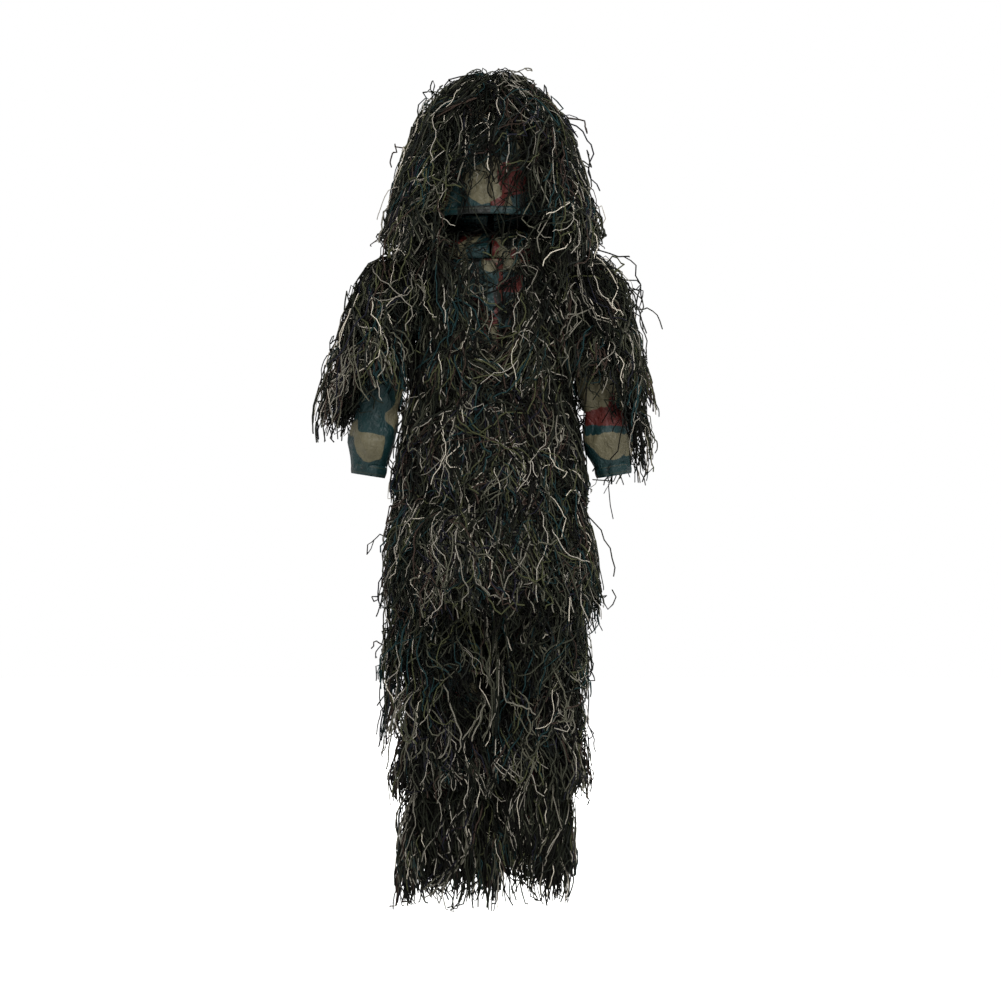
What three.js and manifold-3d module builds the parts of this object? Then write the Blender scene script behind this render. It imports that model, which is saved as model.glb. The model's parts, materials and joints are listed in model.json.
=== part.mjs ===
// Ghillie suit: a lift-off hood, a snap-fronted jacket and a pair of elasticated trousers.
// Thin shells are the cut cloth panels, and wedge-shaped solids are the tiers of sewn yarn.
// Millimetres, +Z up. The wearer faces -Y, so the wearer's left is +X.
// The origin is the middle of the neck seam, where the suit hangs from the wearer's shoulders.
import * as THREE from "three";
import { mergeVertices } from "three/addons/utils/BufferGeometryUtils.js";
import Module from "manifold-3d";

const wasm = await Module();
wasm.setup();

// ---- driving dimensions -------------------------------------------------------------------
const CLOTH = 2.5; // cloth wall, with its seam allowance
const FIT_GAP = 0.4; // between pieces that touch
const YARN_GAP = 0.8; // between a yarn tier and the cloth that it is sewn on
const TIER_GAP = 4; // between one tier and the next
const FAR = 2000; // past the whole suit

// Jacket body: half widths by height, and its depth as a share of its width.
const TORSO_DEPTH = 0.8;
const NECK = { radius: 62, z: 0 };
const SHOULDER = { radius: 128, z: -32 };
const CHEST = { radius: 131, z: -170 };
const WAIST = { radius: 126, z: -300 };
const HIP = { radius: 150, z: -470 };
const HEM = { radius: 160, z: -582 };
const SKIRT_END = { radius: 180, z: -690 }; // where the yarn below the hem hangs to
const COLLAR_HEIGHT = 28;

// Front opening.
const FLAP_TOP = -56;
const FLAP_HINGE_X = 95;
const PLACKET_HALF = 12;
const PLACKET_ROOT = 22; // how far the over placket reaches onto its own panel
const SNAP = { count: 4, top: -84, pitch: 126, radius: 6.5, disc: 1.2 };
const SNAP_STUD = { radius: 1.8, height: 1.2 };
const SNAP_SOCKET = { bore: 4.6, height: 1.4 };

// Sleeves.
const ARM = { radius: 56, z: -108, shoulderX: 175, cuffX: 229, cuffZ: -452 };
const ARM_HOLE_CLEARANCE = 1.5;
const SLEEVE_HEAD_X = 104; // where the round sleeve head starts, inside the arm hole
const SLEEVE_CLEAR_X = 137; // outside the whole jacket body
const UPPER_ARM_RADIUS = 50;
const CUFF_RADIUS = 33;
const SLEEVE_TIER_END = -330;
const SLEEVE_FRINGE_END = -476;

// Trousers.
const TROUSER_TOP = -326;
const SEAT_RADIUS = 112;
const SEAT_DEPTH = 0.76;
const CROTCH_Z = -576;
const LEG_X = 74;
const THIGH_RADIUS = 66;
const KNEE_RADIUS = 60;
const ANKLE_RADIUS = 54;
const LEG_DEPTH = 0.84;
const KNEE_Z = -870;
const KNEE_CREASE_Y = 54; // the fold behind the knee, just behind the cloth
const KNEE_BEND = 50; // degrees
const SHIN_TIER_END = -1000;
const LEG_END_Z = -1150;
const FRINGE_END_Z = -1210;

// Hood: a cloth dome and skirt, and the bush of yarn round it.
const HOOD = { top: 285, brow: 175, radius: 98, hemRadius: 118, hem: 25 };
const HOOD_DEPTH = 1.08;
const BUSH = { top: 301, brow: 150, radius: 165, endRadius: 205, end: 5 };
const BUSH_DEPTH = 0.88;
const CROWN_END = 236;
const BUSH_CORNER = 66; // where the front and back yarn meet the side yarn

// Elastic bands lie in a groove inside each hem.
const BAND = { width: 12, thickness: 1.6, fromEdge: 5 };
const WAIST_CASING = 12; // above the band
const EYELET = { outer: 5.5, bore: 3, x: 16, below: 35 };

// ---- finishes -----------------------------------------------------------------------------
const CAMOUFLAGE = { color: 0x5a5a45, roughness: 0.85 };
const YARN = { color: 0x24281f, roughness: 0.95 };
const ELASTIC = { color: 0x16181a, roughness: 0.9 };
const DARK_METAL = { color: 0x3a3c3a, roughness: 0.4, metalness: 0.8 };

const suit = new THREE.Group();

// ---- solids -------------------------------------------------------------------------------

// A closed three.js geometry as a manifold solid that faces outwards.
function solid(geometry) {
  const bare = new THREE.BufferGeometry();
  bare.setAttribute("position", geometry.getAttribute("position"));
  bare.setIndex(geometry.getIndex());
  const merged = mergeVertices(bare, 1e-4);
  const index = merged.index.array;
  const triangles = [];
  for (let i = 0; i < index.length; i += 3) {
    const [a, b, c] = [index[i], index[i + 1], index[i + 2]];
    if (a !== b && b !== c && c !== a) triangles.push(a, b, c);
  }
  const vertProperties = merged.attributes.position.array;
  const make = (list) =>
    new wasm.Manifold(
      new wasm.Mesh({ numProp: 3, vertProperties, triVerts: new Uint32Array(list) }),
    );
  const made = make(triangles);
  return made.volume() >= 0 ? made : make(triangles.reverse());
}

// A solid's surface as a mesh of its own, placed in the group under its name.
function add(name, made, finish) {
  const { vertProperties, triVerts } = made.getMesh();
  const geometry = new THREE.BufferGeometry();
  geometry.setAttribute("position", new THREE.BufferAttribute(vertProperties, 3));
  geometry.setIndex(new THREE.BufferAttribute(triVerts, 1));
  geometry.computeVertexNormals();
  const node = new THREE.Mesh(geometry, new THREE.MeshStandardMaterial(finish));
  node.name = name;
  suit.add(node);
}

// A closed outline of [radius, z] corners turned round the Z axis, with an oval section.
function turned(outline, segments, depth = 1) {
  const corners = outline.map(([r, z]) => new THREE.Vector2(r, z));
  corners.push(corners[0].clone());
  const geometry = new THREE.LatheGeometry(corners, segments);
  geometry.rotateX(Math.PI / 2);
  geometry.scale(1, depth, 1);
  return solid(geometry);
}

// A round ring with square edges.
const ring = (inner, outer, top, bottom, segments, depth) =>
  turned([[outer, top], [outer, bottom], [inner, bottom], [inner, top]], segments, depth);

// A solid cylinder along X, centred on its middle.
function acrossX(radius, length, segments) {
  const geometry = new THREE.CylinderGeometry(radius, radius, length, segments);
  geometry.rotateZ(Math.PI / 2);
  return solid(geometry);
}

// A box between its sides; a side that isn't given is far away.
function box({ x0 = -FAR, x1 = FAR, y0 = -FAR, y1 = FAR, z0 = -FAR, z1 = FAR }) {
  const geometry = new THREE.BoxGeometry(x1 - x0, y1 - y0, z1 - z0);
  geometry.translate((x0 + x1) / 2, (y0 + y1) / 2, (z0 + z1) / 2);
  return solid(geometry);
}

const keep = (made, limits) => made.intersect(box(limits));
const drop = (made, limits) => made.subtract(box(limits));
const mirrored = (made) => made.mirror([1, 0, 0]);

// A piece on the wearer's left and its mirror image on the right.
function addPair(name, made, finish) {
  add(`left_${name}`, made, finish);
  add(`right_${name}`, mirrored(made), finish);
}

// The radius of an outline of { radius, z } corners at a height, from top to bottom.
function radiusAt(outline, z) {
  for (let i = 1; i < outline.length; i++) {
    const [above, below] = [outline[i - 1], outline[i]];
    if (z >= below.z) {
      const share = (above.z - z) / (above.z - below.z);
      return above.radius + share * (below.radius - above.radius);
    }
  }
  return outline.at(-1).radius;
}

// A wall that follows an outline from top to bottom, from inner(z) to outer(z) off it.
function wall(outline, top, bottom, inner, outer, segments, depth) {
  const inside = outline.map((corner) => corner.z).filter((z) => z < top && z > bottom);
  const heights = [top, ...inside, bottom];
  const side = (offset) => heights.map((z) => [radiusAt(outline, z) + offset(z), z]);
  return turned([...side(outer), ...side(inner).reverse()], segments, depth);
}

// A tier of yarn: thin along its sewn top edge and full along its free lower edge.
function tier(outline, top, bottom, thin, full, segments, depth) {
  const seat = CLOTH + YARN_GAP;
  const pile = (z) => seat + thin + ((top - z) / (top - bottom)) * (full - thin);
  return wall(outline, top, bottom, () => seat, pile, segments, depth);
}

// An elastic band round Z, and the groove that it lies in.
function bandAt(inner, z, segments, depth) {
  const outer = inner + BAND.thickness;
  const half = BAND.width / 2;
  const room = half + FIT_GAP;
  return {
    band: ring(inner, outer, z + half, z - half, segments, depth),
    groove: ring(inner - CLOTH, outer + FIT_GAP, z + room, z - room, segments, depth),
  };
}

// ---- jacket -------------------------------------------------------------------------------
const TORSO_SEGMENTS = 28;
const torso = [NECK, SHOULDER, CHEST, WAIST, HIP, HEM, SKIRT_END];
const SEAM = FIT_GAP / 2;

const armHole = acrossX(ARM.radius + ARM_HOLE_CLEARANCE, 2 * FAR, TORSO_SEGMENTS)
  .translate([0, 0, ARM.z]);
const armHoles = drop(armHole, { x0: -SLEEVE_HEAD_X + CLOTH, x1: SLEEVE_HEAD_X - CLOTH });

// A layer of the jacket body, from one offset off its outline to another.
const layer = (from, to) =>
  wall(torso, NECK.z, HEM.z, () => from, () => to, TORSO_SEGMENTS, TORSO_DEPTH);
const body = layer(0, CLOTH).subtract(armHoles);

function makeJacketShell() {
  add("jacket_back", keep(body, { y0: SEAM }), CAMOUFLAGE);
  // The yoke reaches over the collar bones to the centre front, above the flaps.
  const yoke = keep(body, { x0: SEAM, y1: -SEAM });
  const side = drop(yoke, { x1: FLAP_HINGE_X + SEAM, z1: FLAP_TOP + SEAM });
  addPair("side_panel", side, CAMOUFLAGE);
  const outer = NECK.radius - FIT_GAP;
  const collar = ring(
    outer - CLOTH,
    outer,
    NECK.z + COLLAR_HEIGHT,
    NECK.z - CLOTH,
    TORSO_SEGMENTS,
    TORSO_DEPTH,
  );
  const throat = { x0: -PLACKET_HALF, x1: PLACKET_HALF, y1: 0 };
  add("jacket_collar", drop(collar, throat), CAMOUFLAGE);
}

// A flat snap stands off a sloping, faceted panel far enough for its rim to clear it.
const steepest = Math.max(
  ...[CHEST, WAIST, HIP, HEM].map((corner, i) => {
    const above = [SHOULDER, CHEST, WAIST, HIP][i];
    return Math.abs((corner.radius - above.radius) / (above.z - corner.z));
  }),
);
const facetSlope = Math.tan(Math.PI / TORSO_SEGMENTS);
const SNAP_SEAT = FIT_GAP + TORSO_DEPTH * SNAP.radius * Math.hypot(steepest, facetSlope);

// Heights off the jacket's outline, measured straight out at the centre front.
const STUD_BACK = TORSO_DEPTH * CLOTH + SNAP_SEAT;
const SOCKET_BACK = STUD_BACK + SNAP.disc + FIT_GAP;
const LAP = (SOCKET_BACK + SNAP_SOCKET.height + SNAP_SEAT) / TORSO_DEPTH;

// The wearer's left flap laps over the right one.
function makeFlaps() {
  const span = { y1: -SEAM, z1: FLAP_TOP - SEAM };
  const overEdge = PLACKET_HALF + 2;
  const over = { ...span, x0: overEdge, x1: FLAP_HINGE_X - SEAM };
  add("left_front_panel", keep(body, over), CAMOUFLAGE);
  const under = { ...span, x0: -FLAP_HINGE_X + SEAM, x1: PLACKET_HALF };
  add("right_front_panel", keep(body, under), CAMOUFLAGE);

  const lapSpan = { ...span, x0: -PLACKET_HALF, x1: PLACKET_ROOT };
  const rootSpan = { ...span, x0: overEdge + FIT_GAP, x1: PLACKET_ROOT };
  const lap = keep(layer(LAP, LAP + CLOTH), lapSpan);
  const root = keep(layer(CLOTH + FIT_GAP, LAP + CLOTH), rootSpan);
  add("left_placket", lap.add(root), CAMOUFLAGE);
  const facingSpan = { ...span, x0: -PLACKET_HALF, x1: PLACKET_HALF };
  add("right_placket", keep(layer(-FIT_GAP - CLOTH, -FIT_GAP), facingSpan), CAMOUFLAGE);
}

// Half of a press stud, turned round the front-to-back axis and set off the centre front.
function addSnapHalf(name, outline, z, height) {
  const half = turned(outline, 14).rotate([90, 0, 0]);
  const surface = TORSO_DEPTH * radiusAt(torso, z);
  add(name, half.translate([0, -surface - height, z]), DARK_METAL);
}

function makeSnaps() {
  const nubTop = SNAP.disc + SNAP_STUD.height;
  const stud = [
    [0, 0],
    [SNAP.radius, 0],
    [SNAP.radius, SNAP.disc],
    [SNAP_STUD.radius, SNAP.disc],
    [SNAP_STUD.radius, nubTop],
    [0, nubTop],
  ];
  const socket = [
    [SNAP_SOCKET.bore, 0],
    [SNAP.radius, 0],
    [SNAP.radius, SNAP_SOCKET.height],
    [SNAP_SOCKET.bore, SNAP_SOCKET.height],
  ];
  for (let i = 0; i < SNAP.count; i++) {
    const z = SNAP.top - i * SNAP.pitch;
    addSnapHalf(`snap_stud_${i + 1}`, stud, z, STUD_BACK);
    addSnapHalf(`snap_socket_${i + 1}`, socket, z, SOCKET_BACK);
  }
}

const CHEST_TIER = { top: FLAP_TOP - TIER_GAP, bottom: -298, thin: 14, full: 18 };
const WAIST_TIER = { top: -302, bottom: -478, thin: 8, full: 16 };
const HEM_TIER = { top: -482, bottom: SKIRT_END.z, thin: 10, full: 36 };
const torsoTier = ({ top, bottom, thin, full }) =>
  tier(torso, top, bottom, thin, full, TORSO_SEGMENTS, TORSO_DEPTH);

function makeJacketYarn() {
  const chest = torsoTier(CHEST_TIER).subtract(armHoles);
  const waist = torsoTier(WAIST_TIER);
  const hem = torsoTier(HEM_TIER);
  const front = { x0: PLACKET_ROOT + FIT_GAP, x1: FLAP_HINGE_X - TIER_GAP, y1: -SEAM };
  addPair("chest_yarn", keep(chest, front), YARN);
  addPair("waist_yarn", keep(waist, front), YARN);
  addPair("hem_yarn", keep(hem, front), YARN);
  const bladeHalf = SHOULDER.radius - 2 * TIER_GAP;
  add("upper_back_yarn", keep(chest, { x0: -bladeHalf, x1: bladeHalf, y0: 0 }), YARN);
  add("middle_back_yarn", keep(waist, { y0: 0 }), YARN);
  add("lower_back_yarn", keep(hem, { y0: 0 }), YARN);
  makeShoulderYarn();
}

// The yarn that lies over the shoulder slope, between the collar and the sleeve head.
function makeShoulderYarn() {
  const inner = { radius: NECK.radius + 8, lift: CLOTH + YARN_GAP, pile: 16 };
  const slope = [NECK, SHOULDER];
  const heightAt = (radius) =>
    NECK.z + ((radius - NECK.radius) / (SHOULDER.radius - NECK.radius)) * SHOULDER.z;
  const outerRadius = slope[1].radius - TIER_GAP;
  const [zIn, zOut] = [heightAt(inner.radius), heightAt(outerRadius)];
  const pile = turned(
    [
      [inner.radius, zIn + inner.lift + inner.pile],
      [outerRadius, zOut + inner.lift + inner.pile],
      [outerRadius, zOut + inner.lift],
      [inner.radius, zIn + inner.lift],
    ],
    TORSO_SEGMENTS,
    TORSO_DEPTH,
  );
  addPair("shoulder_yarn", keep(pile, { x0: PLACKET_ROOT }).subtract(armHoles), YARN);
}

// ---- sleeves ------------------------------------------------------------------------------
const ARM_SEGMENTS = 18;
const BALL_RINGS = 8;
const armLength = Math.hypot(ARM.cuffX - ARM.shoulderX, ARM.z - ARM.cuffZ);
const armTilt = Math.atan2(ARM.cuffX - ARM.shoulderX, ARM.z - ARM.cuffZ);
const degrees = (radians) => (radians * 180) / Math.PI;

// Puts a solid made round the Z axis, hanging from z = 0, along the left arm.
const alongArm = (made) =>
  made.rotate([0, -degrees(armTilt), 0]).translate([ARM.shoulderX, 0, ARM.z]);
const armRadiusAt = (s) =>
  UPPER_ARM_RADIUS + (s / armLength) * (CUFF_RADIUS - UPPER_ARM_RADIUS);

// The left sleeve grown by an offset: a round head along X, a ball and a tapering tube.
function sleeveBody(offset, start, end) {
  const radius = ARM.radius + offset;
  const headLength = ARM.shoulderX - start;
  const head = acrossX(radius, headLength, ARM_SEGMENTS)
    .translate([start + headLength / 2, 0, ARM.z]);
  const ballGeometry = new THREE.SphereGeometry(radius, ARM_SEGMENTS, BALL_RINGS);
  ballGeometry.rotateZ(Math.PI / 2);
  const ball = solid(ballGeometry).translate([ARM.shoulderX, 0, ARM.z]);
  const outline = [[0, offset], [armRadiusAt(0) + offset, offset]];
  outline.push([armRadiusAt(end) + offset, -end]);
  const tube = alongArm(turned([...outline, [0, -end]], ARM_SEGMENTS));
  return head.add(ball).add(tube);
}

function makeSleeves() {
  const bandZ = -armLength + BAND.fromEdge + BAND.width / 2;
  const bandRadius = CUFF_RADIUS - CLOTH - FIT_GAP;
  const { band, groove } = bandAt(bandRadius, bandZ, ARM_SEGMENTS);
  const hollow = sleeveBody(-CLOTH, SLEEVE_HEAD_X - CLOTH, armLength + CLOTH);
  const sleeve = sleeveBody(0, SLEEVE_HEAD_X, armLength)
    .subtract(hollow)
    .subtract(alongArm(groove));
  addPair("sleeve", sleeve, CAMOUFLAGE);
  addPair("cuff_elastic", alongArm(band), ELASTIC);
  makeSleeveYarn();
}

const CAP_PILE = 28;
const SLEEVE_TIER = { thin: CAP_PILE, full: 66, innerX: -36 };
const FRINGE_TIER = { thin: 44, full: 50, innerX: 4 };

// Yarn on the outside of the arm, from the shoulder to the elbow and from there to the cuff.
function makeSleeveYarn() {
  const elbow = ARM.z - SLEEVE_TIER_END;
  const fringeEnd = ARM.z - SLEEVE_FRINGE_END;
  const flare = (start, end, { thin, full, innerX }) => {
    const outline = [[0, -start], [armRadiusAt(start) + thin, -start]];
    outline.push([armRadiusAt(end) + full, -end], [0, -end]);
    return alongArm(keep(turned(outline, ARM_SEGMENTS), { x0: innerX }));
  };
  const arm = sleeveBody(YARN_GAP, SLEEVE_HEAD_X, fringeEnd + 1);
  const cap = keep(sleeveBody(CAP_PILE, SLEEVE_HEAD_X, elbow), { z0: ARM.z });
  const upper = keep(cap.add(flare(0, elbow, SLEEVE_TIER)), { x0: SLEEVE_CLEAR_X });
  addPair("upper_sleeve_yarn", upper.subtract(arm), YARN);
  const lower = flare(elbow + TIER_GAP, fringeEnd, FRINGE_TIER).subtract(arm);
  addPair("lower_sleeve_yarn", lower, YARN);
}

// ---- trousers -----------------------------------------------------------------------------
const LEG_SEGMENTS = 20;
const HALF_CLOTH = CLOTH / 2;
const seatOutline = [
  { radius: SEAT_RADIUS, z: TROUSER_TOP },
  { radius: LEG_X + THIGH_RADIUS, z: CROTCH_Z },
];
const legOutline = [
  { radius: THIGH_RADIUS, z: CROTCH_Z },
  { radius: KNEE_RADIUS, z: KNEE_Z },
  { radius: ANKLE_RADIUS, z: LEG_END_Z },
  { radius: ANKLE_RADIUS, z: FRINGE_END_Z },
];

// An eyelet's round outline, bored straight through the front of the waist casing.
function eyeletBore(side, radius, length) {
  const z = TROUSER_TOP - EYELET.below;
  const across = radiusAt(seatOutline, z);
  const y = -SEAT_DEPTH * Math.sqrt(across ** 2 - EYELET.x ** 2);
  const geometry = new THREE.CylinderGeometry(radius, radius, length, 14);
  return solid(geometry).translate([side * EYELET.x, y, z]);
}

function makeSeat() {
  const bandZ = TROUSER_TOP - WAIST_CASING - BAND.width / 2;
  const bandRadius = radiusAt(seatOutline, bandZ) - HALF_CLOTH - BAND.thickness / 2;
  const { band, groove } = bandAt(bandRadius, bandZ, TORSO_SEGMENTS, SEAT_DEPTH);
  const walls = [() => -HALF_CLOTH, () => HALF_CLOTH, TORSO_SEGMENTS, SEAT_DEPTH];
  const shell = wall(seatOutline, TROUSER_TOP, CROTCH_Z + FIT_GAP, ...walls);
  const holes = [-1, 1].map((side) => eyeletBore(side, EYELET.outer + FIT_GAP, FAR / 10));
  const seat = shell.subtract(groove).subtract(holes[0]).subtract(holes[1]);
  add("trouser_seat", seat, CAMOUFLAGE);
  add("waist_elastic", band, ELASTIC);
  const outer = eyeletBore(1, EYELET.outer, CLOTH);
  const eyelet = outer.subtract(eyeletBore(1, EYELET.bore, 2 * CLOTH));
  addPair("waist_eyelet", eyelet, DARK_METAL);
  makeGusset();
}

// The gusset closes the trousers between the two legs.
function makeGusset() {
  const reach = LEG_X + THIGH_RADIUS - HALF_CLOTH - FIT_GAP;
  const plate = ring(0, reach, CROTCH_Z, CROTCH_Z - CLOTH, TORSO_SEGMENTS, SEAT_DEPTH);
  const legRadius = THIGH_RADIUS + HALF_CLOTH + FIT_GAP;
  const [top, bottom] = [CROTCH_Z + CLOTH, CROTCH_Z - 2 * CLOTH];
  const leg = ring(0, legRadius, top, bottom, LEG_SEGMENTS, LEG_DEPTH).translate([LEG_X, 0, 0]);
  const bridge = keep(plate, { x0: -LEG_X / 2, x1: LEG_X / 2 });
  add("crotch_gusset", bridge.subtract(leg).subtract(mirrored(leg)), CAMOUFLAGE);
}

// Everything below or above the knee, as seen when the shin is bent the whole way back.
function foldBehindKnee() {
  const above = box({ y0: 0, z1: TIER_GAP });
  return above.rotate([KNEE_BEND, 0, 0]).translate([0, KNEE_CREASE_Y, KNEE_Z]);
}

function makeLegs() {
  const onLeg = (made) => keep(made.translate([LEG_X, 0, 0]), { x0: FIT_GAP });
  const oval = [LEG_SEGMENTS, LEG_DEPTH];
  const cloth = (top, bottom) =>
    onLeg(wall(legOutline, top, bottom, () => -HALF_CLOTH, () => HALF_CLOTH, ...oval));
  const yarn = (top, bottom, thin, full) =>
    onLeg(tier(legOutline, top, bottom, thin, full, ...oval));

  const bandZ = LEG_END_Z + BAND.fromEdge + BAND.width / 2;
  const bandRadius = radiusAt(legOutline, bandZ) - HALF_CLOTH - FIT_GAP;
  const { band, groove } = bandAt(bandRadius, bandZ, ...oval);
  addPair("thigh", cloth(CROTCH_Z, KNEE_Z + FIT_GAP), CAMOUFLAGE);
  const shin = cloth(KNEE_Z - FIT_GAP, LEG_END_Z).subtract(onLeg(groove));
  addPair("shin", shin, CAMOUFLAGE);
  addPair("ankle_elastic", onLeg(band), ELASTIC);

  const tucked = yarn(HEM.z - TIER_GAP, SKIRT_END.z, 8, 18);
  const shown = yarn(SKIRT_END.z + TIER_GAP, KNEE_Z + TIER_GAP, 16, 48);
  addPair("thigh_yarn", tucked.add(shown).subtract(foldBehindKnee()), YARN);
  addPair("shin_yarn", yarn(KNEE_Z - TIER_GAP, SHIN_TIER_END, 14, 52), YARN);
  addPair("ankle_yarn", yarn(SHIN_TIER_END - TIER_GAP, FRINGE_END_Z, 20, 40), YARN);
}

// ---- hood ---------------------------------------------------------------------------------
const HOOD_SEGMENTS = 24;
const DOME_STEPS = 6;

// A quarter-round dome over a sloping skirt, as an outline from the crown to the hem.
function domeOutline({ top, brow, radius, skirtRadius, end }, offset) {
  const outline = [[0, top + offset]];
  for (let i = 1; i <= DOME_STEPS; i++) {
    const angle = (i / DOME_STEPS) * (Math.PI / 2);
    const across = (radius + offset) * Math.sin(angle);
    outline.push([across, brow + (top - brow + offset) * Math.cos(angle)]);
  }
  outline.push([skirtRadius + offset, end], [0, end]);
  return outline;
}
const hoodRadiusAt = (z) => {
  const slope = (HOOD.hemRadius - HOOD.radius) / (HOOD.brow - HOOD.hem);
  return HOOD.hemRadius + slope * (HOOD.hem - z);
};
const hoodSolid = (offset, end) => {
  const outline = domeOutline({ ...HOOD, skirtRadius: hoodRadiusAt(end), end }, offset);
  return turned(outline, HOOD_SEGMENTS, HOOD_DEPTH);
};

function makeHood() {
  const bandZ = HOOD.hem + BAND.fromEdge + BAND.width / 2;
  const bandRadius = hoodRadiusAt(bandZ + BAND.width / 2) - HALF_CLOTH - BAND.thickness / 2;
  const { band, groove } = bandAt(bandRadius, bandZ, HOOD_SEGMENTS, HOOD_DEPTH);
  const shell = hoodSolid(HALF_CLOTH, HOOD.hem)
    .subtract(hoodSolid(-HALF_CLOTH, HOOD.hem - CLOTH))
    .subtract(groove);
  addPair("hood_panel", keep(shell, { x0: SEAM }), CAMOUFLAGE);
  add("hood_hem_elastic", band, ELASTIC);

  const bushOutline = domeOutline({ ...BUSH, skirtRadius: BUSH.endRadius }, 0);
  const bush = turned(bushOutline, HOOD_SEGMENTS, BUSH_DEPTH)
    .subtract(hoodSolid(HALF_CLOTH + YARN_GAP, BUSH.end - CLOTH));
  add("hood_crown_yarn", keep(bush, { z0: CROWN_END }), YARN);
  const skirt = keep(bush, { z1: CROWN_END - TIER_GAP });
  const middle = { x0: -BUSH_CORNER, x1: BUSH_CORNER };
  add("hood_front_yarn", keep(skirt, { ...middle, y1: 0 }), YARN);
  add("hood_back_yarn", keep(skirt, { ...middle, y0: 0 }), YARN);
  addPair("hood_side_yarn", keep(skirt, { x0: BUSH_CORNER + FIT_GAP }), YARN);
}

makeJacketShell();
makeFlaps();
makeSnaps();
makeJacketYarn();
makeSleeves();
makeSeat();
makeLegs();
makeHood();

export default suit;
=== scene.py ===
"""A woodland ghillie suit, hung as it is worn: camouflage cloth shells under tiers of sewn yarn."""
import json
import math

import bmesh
import bpy
import numpy as np
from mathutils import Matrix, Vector, noise


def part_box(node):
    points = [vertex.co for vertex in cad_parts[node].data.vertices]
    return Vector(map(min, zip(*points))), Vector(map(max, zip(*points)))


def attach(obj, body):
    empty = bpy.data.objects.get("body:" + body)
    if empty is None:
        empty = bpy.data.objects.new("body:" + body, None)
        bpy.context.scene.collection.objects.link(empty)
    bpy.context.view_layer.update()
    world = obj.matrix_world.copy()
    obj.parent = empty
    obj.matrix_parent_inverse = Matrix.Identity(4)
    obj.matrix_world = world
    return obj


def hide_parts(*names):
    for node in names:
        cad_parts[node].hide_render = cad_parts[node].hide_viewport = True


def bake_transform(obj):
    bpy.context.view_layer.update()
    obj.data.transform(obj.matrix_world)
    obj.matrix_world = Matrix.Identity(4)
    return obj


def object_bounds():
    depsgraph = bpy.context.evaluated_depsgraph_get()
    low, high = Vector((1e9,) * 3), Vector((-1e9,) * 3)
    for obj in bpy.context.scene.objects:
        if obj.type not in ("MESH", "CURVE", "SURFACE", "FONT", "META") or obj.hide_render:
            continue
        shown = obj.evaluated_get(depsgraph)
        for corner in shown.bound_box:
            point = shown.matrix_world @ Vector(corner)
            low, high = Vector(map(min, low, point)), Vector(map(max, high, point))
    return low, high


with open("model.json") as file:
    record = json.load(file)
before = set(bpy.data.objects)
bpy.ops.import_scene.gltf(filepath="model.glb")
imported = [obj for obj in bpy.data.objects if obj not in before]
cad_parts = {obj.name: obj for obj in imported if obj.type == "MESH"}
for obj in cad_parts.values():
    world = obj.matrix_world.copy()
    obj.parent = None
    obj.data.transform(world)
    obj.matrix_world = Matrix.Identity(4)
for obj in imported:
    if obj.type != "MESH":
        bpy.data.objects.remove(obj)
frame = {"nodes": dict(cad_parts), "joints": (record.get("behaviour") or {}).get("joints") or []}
CAD_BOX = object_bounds()

# ---- sizes, in metres ----
# An angle round a limb is in degrees from the wearer's front: 90 is the left, and 180 the back.
MM = 0.001
YARN_RADIUS = 1.25 * MM
YARN_TWIST = 7 * MM  # length of one turn of the ply
CLOTH = 1.2 * MM
ELASTIC = 2.2 * MM
LEVEL = 0.6 * MM  # corners this near to a plane lie on it

# Where the camera stands: level with the thighs, square on to the front, a long lens away.
CAMERA_DISTANCE = 6.0
VIEW_WIDTH = 1.862
VIEW_CENTRE = (0.018, -0.498)
FLOOR_Z = -1.326


def linear(colour):
    """An sRGB hex colour as linear RGBA."""
    channels = [int(colour[i : i + 2], 16) / 255 for i in (1, 3, 5)]
    return (*(c / 12.92 if c <= 0.04045 else ((c + 0.055) / 1.055) ** 2.4 for c in channels), 1)


def add_object(name, data):
    """Puts a mesh, a curve, a lamp or a camera in the scene, at the origin."""
    holder = bpy.data.objects.new(name, data)
    bpy.context.scene.collection.objects.link(holder)
    return holder


def shaped_mesh(name, holder):
    """The mesh that an object's modifiers, or its curve's section, give it."""
    shape = holder.evaluated_get(bpy.context.evaluated_depsgraph_get())
    mesh = bpy.data.meshes.new_from_object(shape)
    mesh.name = name
    return mesh


# ---- the wearer's limbs under the cloth ----


def unit(v):
    """Vectors along the last axis, made one long."""
    return v / np.maximum(np.linalg.norm(v, axis=-1, keepdims=True), 1e-9)


RUN_ON = (0.4, 1.5)  # how far a limb's sides run straight on, above it and below it


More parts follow.
